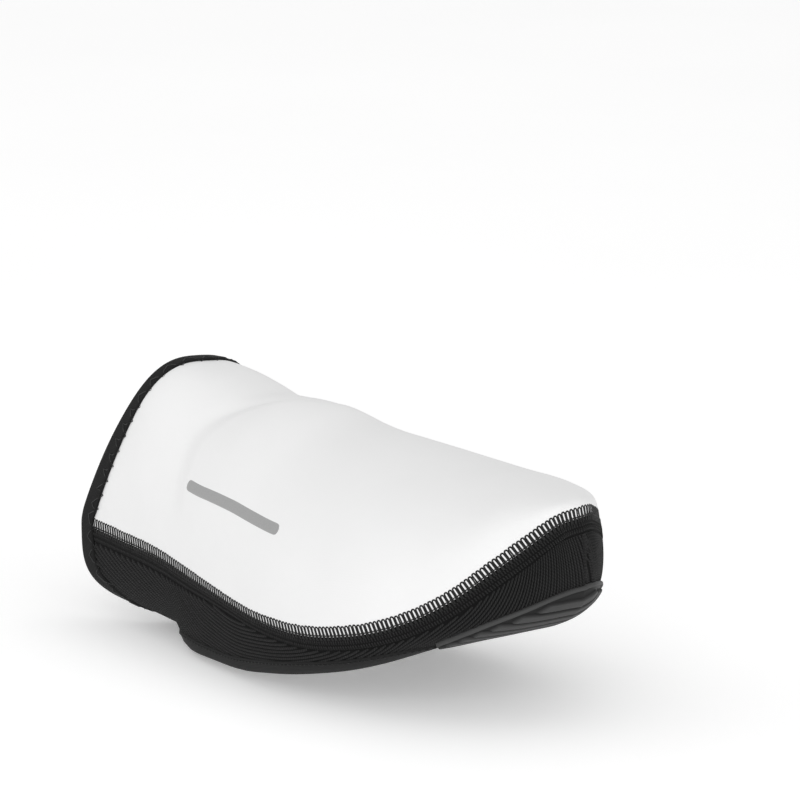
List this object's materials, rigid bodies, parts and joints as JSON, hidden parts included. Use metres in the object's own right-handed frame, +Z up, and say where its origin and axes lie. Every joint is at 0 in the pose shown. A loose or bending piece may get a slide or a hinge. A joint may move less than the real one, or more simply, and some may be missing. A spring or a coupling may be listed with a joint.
{
  "type": "cycling toe cover",
  "caption": "Right toe cover for a road cycling shoe: smooth white shell, ribbed black knit band with arch strap, bound openings and ribbed rubber toe patch.",
  "frame": {"origin": "middle of the cleat opening, on the level of the band's lowest edge, where the cover sits on the sole of a shoe", "axes": "+X towards the toe, +Y towards the inner side of the foot, +Z up"},
  "size_m": [0.2306, 0.0997, 0.0989],
  "materials": {
    "shell_laminate": "smooth matte laminate",
    "band_knit": "heavy ribbed knit",
    "binding_tape": "folded elastic tape",
    "cleat_tape": "smooth folded tape",
    "patch_rubber": "matte moulded ribs"
  },
  "bodies": {
    "root": {"upper_shell": "shell_laminate", "side_band": "band_knit", "opening_binding": "binding_tape", "cleat_opening_binding": "cleat_tape", "toe_patch": "patch_rubber"}
  },
  "joints": []
}
